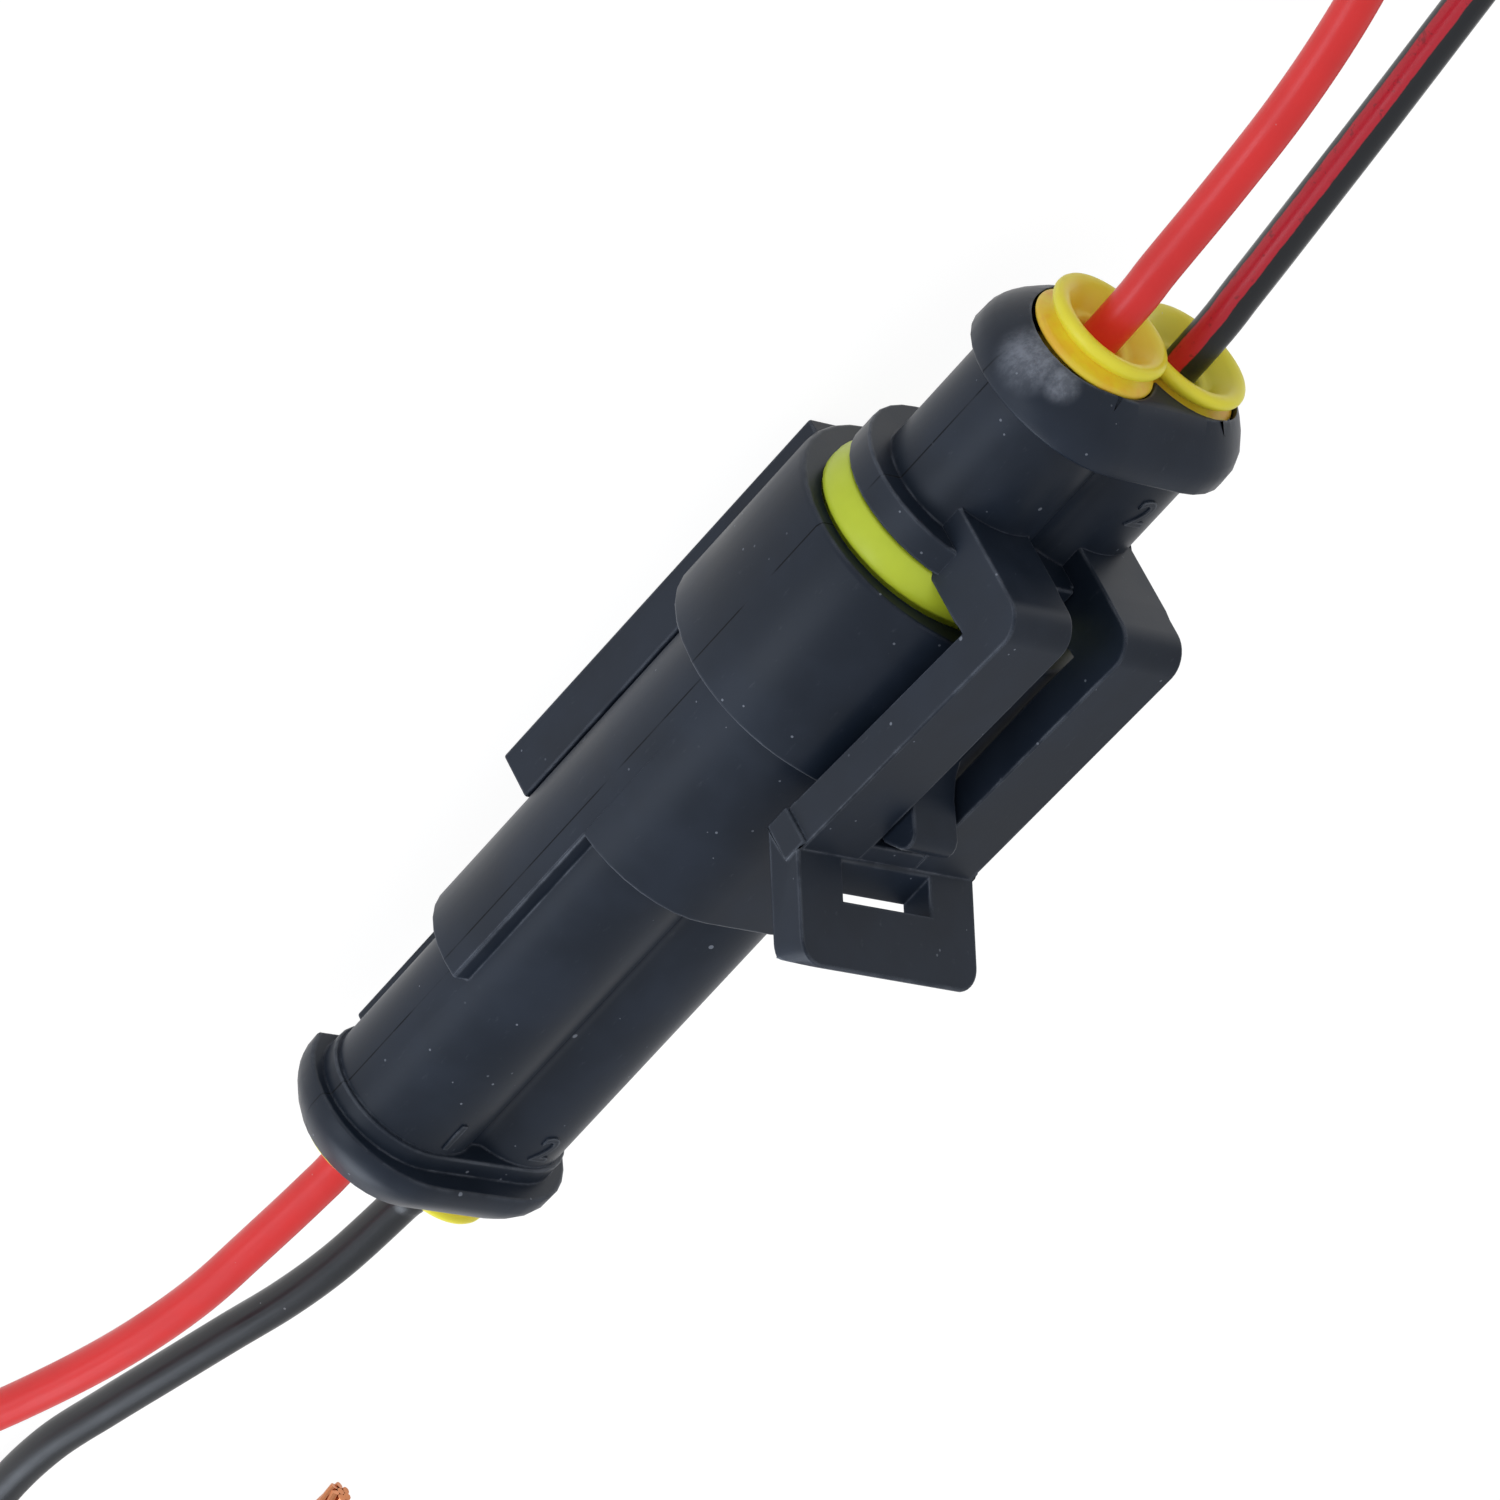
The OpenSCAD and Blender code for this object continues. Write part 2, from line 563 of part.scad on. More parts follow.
// Round tube along a path that never stands upright
module tube(path, r, sides = 8) {
    n = len(path);
    points = [for (i = [0:n - 1])
        let (t = heading(path, i), u = unit(cross(t, [0, 0, 1])), v = cross(u, t))
        for (j = [0:sides - 1]) path[i] + r * (cos(360 * j / sides) * u + sin(360 * j / sides) * v)];
    polyhedron(
        points = points,
        faces = concat(
            [[for (j = [0:sides - 1]) j]],
            [[for (j = [sides - 1:-1:0]) (n - 1) * sides + j]],
            [for (i = [0:n - 2]) for (j = [0:sides - 1])
                [i * sides + j, (i + 1) * sides + j,
                 (i + 1) * sides + (j + 1) % sides, i * sides + (j + 1) % sides]]),
        convexity = 8);
}

plug_paths = [wire_path(x_plug_crimp, x_plug_rear, plug_proud_1, side_y(1), 1, plug_route_1),
              wire_path(x_plug_crimp, x_plug_rear, plug_proud_2, side_y(2), 1, plug_route_2)];
cap_paths = [wire_path(x_cap_crimp, x_cap_rear, cap_proud_1, side_y(1), -1, cap_route_1),
             wire_path(x_cap_crimp, x_cap_rear, cap_proud_2, side_y(2), -1, cap_route_2)];

module wire(path, shade) color(shade) place() tube(path, wire_d / 2);

// Bare strands on the end of a path that ends level
module strands(path) {
    end = path[len(path) - 1];
    t = heading(path, len(path) - 1);
    color(strand_copper) place() translate(end) rotate([0, 90, atan2(t[1], t[0])])
        cylinder(h = strip_len, r = strand_d / 2, $fn = 24);
}

cap_housing();
plug_housing();
latch_lever();
interface_seal();
plug_contact_lock();
cap_contact_lock();
plug_wire_seal(1);  // plug_wire_seal_1
plug_wire_seal(2);  // plug_wire_seal_2
cap_wire_seal(1);  // cap_wire_seal_1
cap_wire_seal(2);  // cap_wire_seal_2
socket_contact(1);  // socket_contact_1
socket_contact(2);  // socket_contact_2
pin_contact(1);  // pin_contact_1
pin_contact(2);  // pin_contact_2
wire(plug_paths[0], wire_red);  // plug_wire_1
wire(plug_paths[1], wire_black);  // plug_wire_2
wire(cap_paths[0], wire_red);  // cap_wire_1
wire(cap_paths[1], wire_black);  // cap_wire_2
strands(plug_paths[0]);  // plug_strands_1
strands(plug_paths[1]);  // plug_strands_2
strands(cap_paths[0]);  // cap_strands_1
strands(cap_paths[1]);  // cap_strands_2
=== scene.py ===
"""Looks of a sealed two-way connector: dressed mouldings, silicone seals and four wires."""

import json
import logging
import math
from dataclasses import dataclass, field
from enum import Enum
from typing import Optional, Sequence, Union

import bmesh
import bpy
from mathutils import Matrix, Vector


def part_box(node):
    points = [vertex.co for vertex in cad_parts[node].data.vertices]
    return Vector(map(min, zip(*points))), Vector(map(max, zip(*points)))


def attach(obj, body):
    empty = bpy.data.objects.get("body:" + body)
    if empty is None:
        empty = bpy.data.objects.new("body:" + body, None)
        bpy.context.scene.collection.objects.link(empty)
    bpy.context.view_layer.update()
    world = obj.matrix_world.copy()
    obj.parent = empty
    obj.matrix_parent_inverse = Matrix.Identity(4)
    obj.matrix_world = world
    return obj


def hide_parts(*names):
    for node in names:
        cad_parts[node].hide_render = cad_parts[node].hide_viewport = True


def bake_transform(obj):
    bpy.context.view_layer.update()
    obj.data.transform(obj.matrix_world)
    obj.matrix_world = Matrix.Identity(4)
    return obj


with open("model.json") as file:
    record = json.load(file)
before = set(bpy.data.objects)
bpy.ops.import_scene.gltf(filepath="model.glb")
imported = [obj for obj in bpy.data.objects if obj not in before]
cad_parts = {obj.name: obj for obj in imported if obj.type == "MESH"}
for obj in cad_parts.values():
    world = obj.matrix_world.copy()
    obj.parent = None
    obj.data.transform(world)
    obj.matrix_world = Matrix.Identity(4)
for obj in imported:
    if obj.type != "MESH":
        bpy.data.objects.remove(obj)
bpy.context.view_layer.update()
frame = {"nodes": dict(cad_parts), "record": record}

log = logging.getLogger("connector")

MM = 0.001
AXIS_HEIGHT = 8.05 * MM          # contact axis above the floor
MOUTH_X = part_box("cap_housing")[1].x
CAP_REAR_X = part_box("cap_housing")[0].x
PLUG_REAR_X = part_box("plug_housing")[1].x
PITCH = 6.0 * MM                 # between the two contacts
WELD = 0.0005 * MM               # vertices nearer than this are one
CUT = 0.0001 * MM                # tolerance of a cutting plane


# ---------- shader maths ----------
Number = Union[int, float]
Colour = tuple[float, float, float]


class Flow:
    """One output inside a material, with Python operators that add Math nodes."""

    def __init__(self, graph: "Graph", socket: bpy.types.NodeSocket) -> None:
        """Keeps the graph and the socket that this value comes from."""
        self.graph = graph
        self.socket = socket

    def _join(self, operation: str, *values: Union["Flow", Number]) -> "Flow":
        """Adds one Math node.

        Args:
            operation: the Math node's operation.
            values: its inputs in order, as flows or numbers.

        Returns:
            The node's result.
        """
        inputs = dict(enumerate(values))
        return self.graph.node("ShaderNodeMath", {"operation": operation}, inputs)

    def __add__(self, other: Union["Flow", Number]) -> "Flow":
        """Sum of two values."""
        return self._join("ADD", self, other)

    def __radd__(self, other: Number) -> "Flow":
        """Sum with a number on the left."""
        return self._join("ADD", other, self)

    def __sub__(self, other: Union["Flow", Number]) -> "Flow":
        """Difference of two values."""
        return self._join("SUBTRACT", self, other)

    def __rsub__(self, other: Number) -> "Flow":
        """Difference from a number on the left."""
        return self._join("SUBTRACT", other, self)

    def __mul__(self, other: Union["Flow", Number]) -> "Flow":
        """Product of two values."""
        return self._join("MULTIPLY", self, other)

    def __rmul__(self, other: Number) -> "Flow":
        """Product with a number on the left."""
        return self._join("MULTIPLY", other, self)

    def __lt__(self, other: Union["Flow", Number]) -> "Flow":
        """1 where this value is the smaller, else 0."""
        return self._join("LESS_THAN", self, other)

    def __abs__(self) -> "Flow":
        """Size without sign."""
        return self._join("ABSOLUTE", self)

    def most(self, other: Union["Flow", Number]) -> "Flow":
        """The larger of two values."""
        return self._join("MAXIMUM", self, other)

    def span(self, low: float, high: float, start: float = 0.0, end: float = 1.0) -> "Flow":
        """Maps low..high smoothly to start..end.

        Args:
            low: input value that gives start.
            high: input value that gives end.
            start: output at low.
            end: output at high.

        Returns:
            The mapped value, held outside the range.
        """
        return self.graph.node(
            "ShaderNodeMapRange",
            {"interpolation_type": "SMOOTHSTEP"},
            {"Value": self, "From Min": low, "From Max": high, "To Min": start, "To Max": end},
        )


class Graph:
    """The node tree of one material."""

    def __init__(self, name: str) -> None:
        """Makes an empty material with its output and main shader.

        Args:
            name: the material's name.
        """
        self.material = bpy.data.materials.new(name)
        self.material.use_nodes = True
        self.tree = self.material.node_tree
        self.tree.nodes.clear()
        self.output = self.tree.nodes.new("ShaderNodeOutputMaterial")
        self.shader = self.tree.nodes.new("ShaderNodeBsdfPrincipled")
        self.tree.links.new(self.shader.outputs[0], self.output.inputs["Surface"])

    def node(self, kind: str, settings: dict, inputs: dict, output: Union[int, str] = 0) -> Flow:
        """Adds a node.

        Args:
            kind: the node's type.
            settings: attributes that are set first.
            inputs: socket name or index to a flow, a number or a colour.
            output: name or index of the output to return.

        Returns:
            That output.
        """
        made = self.tree.nodes.new(kind)
        for key, value in settings.items():
            setattr(made, key, value)
        for key, value in inputs.items():
            self._feed(made.inputs[key], value)
        return Flow(self, made.outputs[output])

    def _feed(self, socket: bpy.types.NodeSocket, value: object) -> None:
        """Links a flow to a socket, or sets a constant on it.

        Args:
            socket: the input socket.
            value: a flow, a number, a vector or a colour.
        """
        if isinstance(value, Flow):
            self.tree.links.new(value.socket, socket)
        elif isinstance(value, (tuple, list)) and socket.type == "RGBA":
            socket.default_value = (*value, 1.0)
        else:
            socket.default_value = value

    def surface(self, **inputs: object) -> None:
        """Sets the main shader's sockets, with _ for a space in their names."""
        for key, value in inputs.items():
            self._feed(self.shader.inputs[key.replace("_", " ")], value)

    def place(self) -> Flow:
        """Object coordinates, in metres."""
        return self.node("ShaderNodeTexCoord", {}, {}, "Object")

    def axis(self, vector: Flow, name: str) -> Flow:
        """One component of a vector, "X", "Y" or "Z"."""
        return self.node("ShaderNodeSeparateXYZ", {}, {"Vector": vector}, name)

    def scaled(self, vector: Flow, scale: Sequence[float]) -> Flow:
        """A vector scaled along each axis."""
        inputs = {"Vector": vector, "Scale": tuple(scale)}
        return self.node("ShaderNodeMapping", {"vector_type": "POINT"}, inputs)

    def noise(self, vector: Flow, scale: float, detail: float = 2.0, rough: float = 0.5) -> Flow:
        """Cloudy noise from 0 to 1."""
        inputs = {"Vector": vector, "Scale": scale, "Detail": detail, "Roughness": rough}
        return self.node("ShaderNodeTexNoise", {}, inputs)

    def cells(self, vector: Flow, scale: float) -> Flow:
        """Distance to the nearest of many scattered points."""
        return self.node("ShaderNodeTexVoronoi", {}, {"Vector": vector, "Scale": scale})

    def blend(self, share: Union[Flow, float], first: object, second: object) -> Flow:
        """Mixes two colours.

        Args:
            share: how much of the second, 0 to 1.
            first: a colour or a flow.
            second: a colour or a flow.

        Returns:
            The mixed colour.
        """
        made = self.tree.nodes.new("ShaderNodeMix")
        made.data_type = "RGBA"
        self._feed(made.inputs["Factor"], share)
        self._feed(made.inputs[6], first)
        self._feed(made.inputs[7], second)
        return Flow(self, made.outputs[2])

    def bump(self, height: Flow, depth: float, strength: float) -> Flow:
        """Bump of a height map, depth in metres."""
        inputs = {"Height": height, "Distance": depth, "Strength": strength}
        return self.node("ShaderNodeBump", {}, inputs)

    def vector_maths(self, operation: str, first: Flow, second: object) -> Flow:
        """A number worked out from two vectors."""
        inputs = {0: first, 1: second}
        return self.node("ShaderNodeVectorMath", {"operation": operation}, inputs, "Value")

    def specks(self, place: Flow, scale: float, size: float, patches: tuple[float, float, float]) -> Flow:
        """Fine specks that keep to patches.

        Args:
            place: where the surface is.
            scale: how closely the specks lie.
            size: how large each is, as a share of its cell.
            patches: scale of the patches, and the noise values between which they fade in.

        Returns:
            1 on a speck, else 0.
        """
        spread, low, high = patches
        return (self.cells(place, scale) < size) * self.noise(place, spread, 1, 0.5).span(low, high)


def srgb(red: int, green: int, blue: int) -> Colour:
    """A display colour as linear light.

    Args:
        red: red, 0 to 255.
        green: green, 0 to 255.
        blue: blue, 0 to 255.

    Returns:
        The three channels, 0 to 1.
    """
    def linear(value: float) -> float:
        """One channel."""
        value /= 255
        return value / 12.92 if value <= 0.04045 else ((value + 0.055) / 1.055) ** 2.4
    return linear(red), linear(green), linear(blue)


# ---------- finishes ----------
@dataclass(frozen=True)
class MouldedPlastic:
    """Satin black nylon with dust, a parting line, and worn edges and rub marks that also carry painted
    highlights.
    """

    colour: Colour = srgb(25, 34, 47)
    pale: Colour = srgb(34, 43, 57)
    # pale colour of wear and dust, also used for painted highlights
    wear_dust_and_highlight: Colour = srgb(150, 157, 170)
    roughness: float = 0.4
    ior: float = 1.42
    specular: float = 0.36
    bump_depth: float = 0.012 * MM
    # worn edges and rub marks below are partly wear and partly painted highlights
    worn_edge_highlight_radius: float = 0.2 * MM
    worn_edge_highlight_share: float = 0.38
    rub_highlight_share: float = 0.7
    scuff_share: float = 0.06
    dust_share: float = 0.55
    parting_half: float = 0.04 * MM
    # rub marks, each also a painted highlight: place from the mouth and the contact axis, then reach, in mm
    rub_highlight_spots: tuple = ((12.9, 7.0, 0.9, 2.1), (13.1, 6.2, 2.5, 1.2))

    def worn_edges_and_highlights(self, g: Graph) -> Flow:
        """Thin broken lines along the edges: wear, and a painted highlight on the edges.

        Args:
            g: the material's graph.

        Returns:
            1 on a worn edge and its painted highlight, 0 elsewhere.
        """
        rounded = g.node("ShaderNodeBevel", {"samples": 4}, {"Radius": self.worn_edge_highlight_radius})
        straight = g.node("ShaderNodeNewGeometry", {}, {}, "Normal")
        turn = g.vector_maths("DOT_PRODUCT", rounded, straight)
        broken = g.noise(g.place(), 700, 3, 0.6).span(0.36, 0.62)
        return (1.0 - turn).span(0.006, 0.07) * (0.3 + 0.7 * broken)

    def rub_marks_and_highlights(self, g: Graph, place: Flow) -> Flow:
        """Cloudy rub marks at a few spots, each also a painted highlight.

        Args:
            g: the material's graph.
            place: where the surface is.

        Returns:
            1 in the middle of a rub mark and its painted highlight, 0 outside them.
        """
        total: Optional[Flow] = None
        for x, y, z, reach in self.rub_highlight_spots:
            centre = (x * MM + MOUTH_X, y * MM, z * MM + AXIS_HEIGHT)
            apart = g.vector_maths("DISTANCE", place, centre)
            spot = apart.span(0.25 * reach * MM, reach * MM, 1.0, 0.0)
            total = spot if total is None else total.most(spot)
        streaks = g.noise(g.scaled(place, (1.0, 2.2, 2.2)), 900, 5, 0.7).span(0.36, 0.66)
        return total * (0.5 + 0.5 * streaks)

    def parting_line(self, g: Graph, place: Flow) -> Flow:
        """The mould's broken parting line at the height of the contacts."""
        near = abs(g.axis(place, "Z") - AXIS_HEIGHT) < self.parting_half
        return near * g.noise(place, 260, 2, 0.5).span(0.38, 0.55)

    def build(self) -> bpy.types.Material:
        """Makes the material.

        Returns:
            The material.
        """
        g = Graph("moulded_plastic")
        place = g.place()
        cloud = g.noise(place, 160, 3, 0.6)
        grain = g.noise(place, 5200, 2, 0.6)
        scuff = g.noise(g.scaled(place, (1.0, 3.0, 3.0)), 800, 4, 0.7).span(0.62, 0.78)
        large = g.specks(place, 380, 0.05, (210, 0.52, 0.6))
        fine = g.specks(place, 1100, 0.07, (330, 0.5, 0.62))
        dust = large.most(fine)
        line = self.parting_line(g, place)
        # painted highlights: worn edges and rub marks lighten the tint below, as wear and as light
        edges = self.worn_edges_and_highlights(g)
        # rub marks with a painted highlight on the plug's flange
        rub = self.rub_marks_and_highlights(g, place)
        light = scuff * self.scuff_share + edges * self.worn_edge_highlight_share + rub * self.rub_highlight_share
        tint = g.blend(cloud.span(0.35, 0.7), self.colour, self.pale)
        tint = g.blend(line * 0.85, tint, tuple(0.15 * c for c in self.colour))
        tint = g.blend(light, tint, self.wear_dust_and_highlight)
        tint = g.blend(dust * self.dust_share, tint, self.wear_dust_and_highlight)
        rough = self.roughness + cloud.span(0.3, 0.7, -0.03, 0.05) - rub * 0.08 + line * 0.4
        height = grain * 0.55 + cloud * 0.35 + dust * 1.2 - line * 4.0
        g.surface(Base_Color=tint, Roughness=rough, Normal=g.bump(height, self.bump_depth, 0.3))
        g.shader.inputs["IOR"].default_value = self.ior
        g.shader.inputs["Specular IOR Level"].default_value = self.specular
        return g.material


@dataclass(frozen=True)
class Silicone:
    """Coloured silicone rubber, a little translucent, with painted shade where it sinks into its pocket."""

    name: str
    colour: Colour
    deep: Colour
    # painted shade: a deeper orange where the seal sinks into its pocket
    pocket_shade: Optional[Colour] = None
    roughness: float = 0.4
    dust: Colour = srgb(250, 246, 214)
    bump_depth: float = 0.012 * MM
    scatter: float = 0.15
    scatter_reach: float = 0.5 * MM
    scatter_colour: Colour = (1.0, 0.8, 0.2)

    def build(self) -> bpy.types.Material:
        """Makes the material; a piece's own attribute says where shade is painted.

        Returns:
            The material.
        """
        g = Graph(self.name)
        place = g.place()
        cloud = g.noise(place, 420, 3, 0.6)
        tint = g.blend(cloud.span(0.35, 0.75, 0.0, 0.3), self.colour, self.deep)
        # painted shade where the seal sinks into its pocket
        if self.pocket_shade:
            depth = g.node("ShaderNodeAttribute", {"attribute_name": LippedSeal.SHADE_LAYER}, {}, "Fac")
            patchy = g.noise(place, 520, 3, 0.6).span(0.3, 0.65, 0.35, 1.0)
            tint = g.blend(depth * patchy, tint, self.pocket_shade)
        specks = g.specks(place, 900, 0.05, (260, 0.52, 0.62))
        tint = g.blend(specks * 0.4, tint, self.dust)
        height = g.noise(place, 2600, 2, 0.6)
        g.surface(
            Base_Color=tint,
            Roughness=self.roughness + cloud.span(0.3, 0.7, -0.05, 0.06),
            Normal=g.bump(height, self.bump_depth, 0.25),
        )
        g.shader.inputs["Subsurface Weight"].default_value = self.scatter
        g.shader.inputs["Subsurface Radius"].default_value = self.scatter_colour
        g.shader.inputs["Subsurface Scale"].default_value = self.scatter_reach
        return g.material


@dataclass(frozen=True)
class Insulation:
    """Extruded wire insulation, plain or with one printed stripe."""

    name: str
    colour: Colour
    stripe: Optional[Colour] = None
    stripe_turn: float = 17.0        # degrees round the wire
    stripe_half: float = 30.0        # degrees from its middle to its edge
    roughness: float = 0.34
    dust: Colour = srgb(190, 190, 196)
    bump_depth: float = 0.02 * MM

    def build(self) -> bpy.types.Material:
        """Makes the material; the stripe follows the cord's own section attribute.

        Returns:
            The material.
        """
        g = Graph(self.name)
        place = g.place()
        section = g.node("ShaderNodeAttribute", {"attribute_name": CordMesh.SECTION}, {}, "Vector")
        cloud = g.noise(place, 300, 3, 0.6)
        darker = tuple(0.72 * c for c in self.colour)
        tint = g.blend(cloud.span(0.3, 0.75, 0.0, 0.25), self.colour, darker)
        if self.stripe:
            turn = math.radians(self.stripe_turn)
            across, over = g.axis(section, "X"), g.axis(section, "Y")
            facing = across * -math.cos(turn) + over * -math.sin(turn)
            ragged = facing + (g.noise(place, 900, 3, 0.6) - 0.5) * 0.08
            edge = math.cos(math.radians(self.stripe_half))
            worn = g.noise(place, 1400, 3, 0.7).span(0.3, 0.42, 0.55, 1.0)
            tint = g.blend(ragged.span(edge - 0.02, edge + 0.02) * worn, tint, self.stripe)
        drawn = g.noise(g.scaled(section, (6.0, 6.0, 0.6)), 1.0, 3, 0.6)
        specks = g.specks(place, 800, 0.05, (240, 0.54, 0.62))
        g.surface(
            Base_Color=g.blend(specks * 0.35, tint, self.dust),
            Roughness=self.roughness + cloud.span(0.3, 0.7, -0.04, 0.06),
            Normal=g.bump(drawn, self.bump_depth, 0.35),
        )
        return g.material


@dataclass(frozen=True)
class Metal:
    """Bare or plated metal."""

    name: str
    colour: Colour
    roughness: float = 0.3

    def build(self) -> bpy.types.Material:
        """Makes the material.

        Returns:
            The material.
        """
        g = Graph(self.name)
        place = g.place()
        cloud = g.noise(place, 700, 3, 0.6)
        tint = g.blend(cloud.span(0.3, 0.7), self.colour, tuple(0.75 * c for c in self.colour))
        rough = self.roughness + cloud.span(0.3, 0.7, -0.08, 0.1)
        g.surface(Base_Color=tint, Metallic=1.0, Roughness=rough)
        return g.material


class Finish(Enum):
    """Every finish on the connector."""

    HOUSING = MouldedPlastic()
    # wire seals: the third colour is painted shade where they sink into their pockets
    WIRE_SEAL = Silicone(
        "wire_seal_silicone", srgb(252, 240, 62), srgb(244, 228, 54), srgb(250, 188, 56))
    INTERFACE_SEAL = Silicone("interface_seal_silicone", srgb(208, 224, 54), srgb(190, 206, 48))
    LOCK = Silicone("contact_lock_polyester", srgb(230, 228, 220), srgb(214, 210, 200))
    CONTACT = Metal("tinned_contact", srgb(200, 202, 206), 0.28)
    COPPER = Metal("bare_copper", srgb(214, 140, 98), 0.3)
    RED = Insulation("red_insulation", srgb(234, 44, 44))
    BLACK = Insulation("black_insulation", srgb(24, 28, 34))
    STRIPED = Insulation("striped_insulation", srgb(24, 28, 34), srgb(204, 28, 50))

    def material(self) -> bpy.types.Material:
        """Gives this finish's material, made once.

        Returns:
            The material.
        """
        if self not in _MADE:
            _MADE[self] = self.value.build()
        return _MADE[self]


_MADE: dict = {}


# ---------- mesh helpers ----------
def finish_object(name: str, mesh: bpy.types.Mesh, finish: Finish) -> bpy.types.Object:
    """Puts a mesh into the scene.

    Args:
        name: the piece's name.
        mesh: its mesh, already in place.
        finish: the finish that it takes.

    Returns:
        The new object, at the origin.
    """
    piece = bpy.data.objects.new(name, mesh)
    bpy.context.scene.collection.objects.link(piece)
    mesh.materials.clear()
    mesh.materials.append(finish.material())
    log.info("%s: %d faces", name, len(mesh.polygons))
    return piece


def mesh_from(bm: bmesh.types.BMesh, name: str, sharp: float = 35.0) -> bpy.types.Mesh:
    """Closes a bmesh into a smooth mesh with sharp edges.

    Args:
        bm: the bmesh, which is freed.
        name: the mesh's name.
        sharp: the angle in degrees past which an edge is sharp.

    Returns:
        The mesh.
    """
    mesh = bpy.data.meshes.new(name)
    bm.to_mesh(mesh)
    bm.free()
    mesh.shade_smooth()
    mesh.set_sharp_from_angle(angle=math.radians(sharp))
    return mesh


@dataclass
class HardRounds:
    """Split normals that keep flat faces flat beside their rounded edges."""

    bm: bmesh.types.BMesh
    rounds: set
    fold: float = math.radians(40)

    def at(self, loop: bmesh.types.BMLoop) -> Vector:
        """One corner's normal: the mean of the plain faces round it that lie in its fold.

        Args:
            loop: the corner.

        Returns:
            Its normal, of length one.
        """
        own = loop.face.normal
        wide = self.fold if loop.face not in self.rounds else 2 * self.fold
        plain = [c for c in loop.vert.link_loops if c.face not in self.rounds]
        near = [c for c in plain or loop.vert.link_loops if c.face.normal.angle(own, 0.0) < wide]
        total = Vector()
        for corner in near or [loop]:
            total += corner.face.normal * corner.calc_angle()
        return total.normalized()

    def normals(self) -> list[Vector]:
        """Every corner's normal, in the mesh's own order."""
        self.bm.normal_update()
        return [self.at(loop) for face in self.bm.faces for loop in face.loops]


@dataclass
class Moulding:
    """A CAD solid shown through a merged copy whose edges are rounded."""

    node: str
    body: str
    slot: str
    finish: Finish
    round_over: float = 0.13 * MM
    steps: int = 2
    fold: float = 50.0               # degrees past which an edge is rounded
    merge: float = 0.003 * MM
    same_plane: float = 0.5          # degrees within which two triangles are one flat face

    def copy(self) -> bmesh.types.BMesh:
        """Copies the node's mesh, merged and with its flat pairs of triangles joined.

        Returns:
            The copy.
        """
        bm = bmesh.new()
        bm.from_mesh(frame["nodes"][self.node].data)
        bmesh.ops.remove_doubles(bm, verts=bm.verts, dist=self.merge)
        bmesh.ops.join_triangles(bm, faces=bm.faces,
                                 angle_face_threshold=math.radians(self.same_plane),
                                 angle_shape_threshold=math.radians(180))
        return bm

    def shape(self, bm: bmesh.types.BMesh) -> None:
        """Changes the copy before its edges are rounded; a plain moulding is left as it is."""

    def round_edges(self, bm: bmesh.types.BMesh) -> set:
        """Bevels the sharp outward edges.

        Args:
            bm: the copy to work on.

        Returns:
            The faces of the rounds.
        """
        sharp = [
            e for e in bm.edges
            if len(e.link_faces) == 2 and e.calc_face_angle(0.0) > math.radians(self.fold)
            and e.is_convex and e.calc_length() > 4 * self.merge
        ]
        made = bmesh.ops.bevel(bm, geom=sharp, offset=self.round_over, offset_type="OFFSET",
                               segments=self.steps, profile=0.5, affect="EDGES", clamp_overlap=False,
                               material=-1)
        return set(made["faces"])

    def dress(self, bm: bmesh.types.BMesh, rounds: set) -> bpy.types.Object:
        """Puts the finished copy into the scene for its node.

        Args:
            bm: the finished copy, which is freed.
            rounds: the faces of its rounded edges.

        Returns:
            The new piece.
        """
        normals = HardRounds(bm, rounds).normals()
        mesh = mesh_from(bm, self.node, 40)
        mesh.normals_split_custom_set(normals)
        piece = finish_object(f"{self.node}_dressed", mesh, self.finish)
        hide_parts(self.node)
        return piece

    def build(self) -> bpy.types.Object:
        """Makes the copy and lets it stand for its node.

        Returns:
            The new piece.
        """
        bm = self.copy()
        self.shape(bm)
        rounds = self.round_edges(bm) if self.round_over else set()
        piece = self.dress(bm, rounds)
        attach(piece, self.body)
        return piece


@dataclass
class PlugMoulding(Moulding):
    """The plug without the tops of its leg stubs, which lie inside the lever's legs."""

    stub_top: float = 5.6 * MM

    def shape(self, bm: bmesh.types.BMesh) -> None:
        """Cuts the stubs off above the collar and closes them.

        Args:
            bm: the copy to work on.
        """
        cut = bmesh.ops.bisect_plane(bm, geom=[*bm.verts, *bm.edges, *bm.faces], dist=CUT,
                                     plane_co=(0, 0, AXIS_HEIGHT + self.stub_top), plane_no=(0, 0, 1),
                                     clear_outer=True)
        rim = [e for e in cut["geom_cut"] if isinstance(e, bmesh.types.BMEdge)]
        bmesh.ops.holes_fill(bm, edges=rim, sides=0)


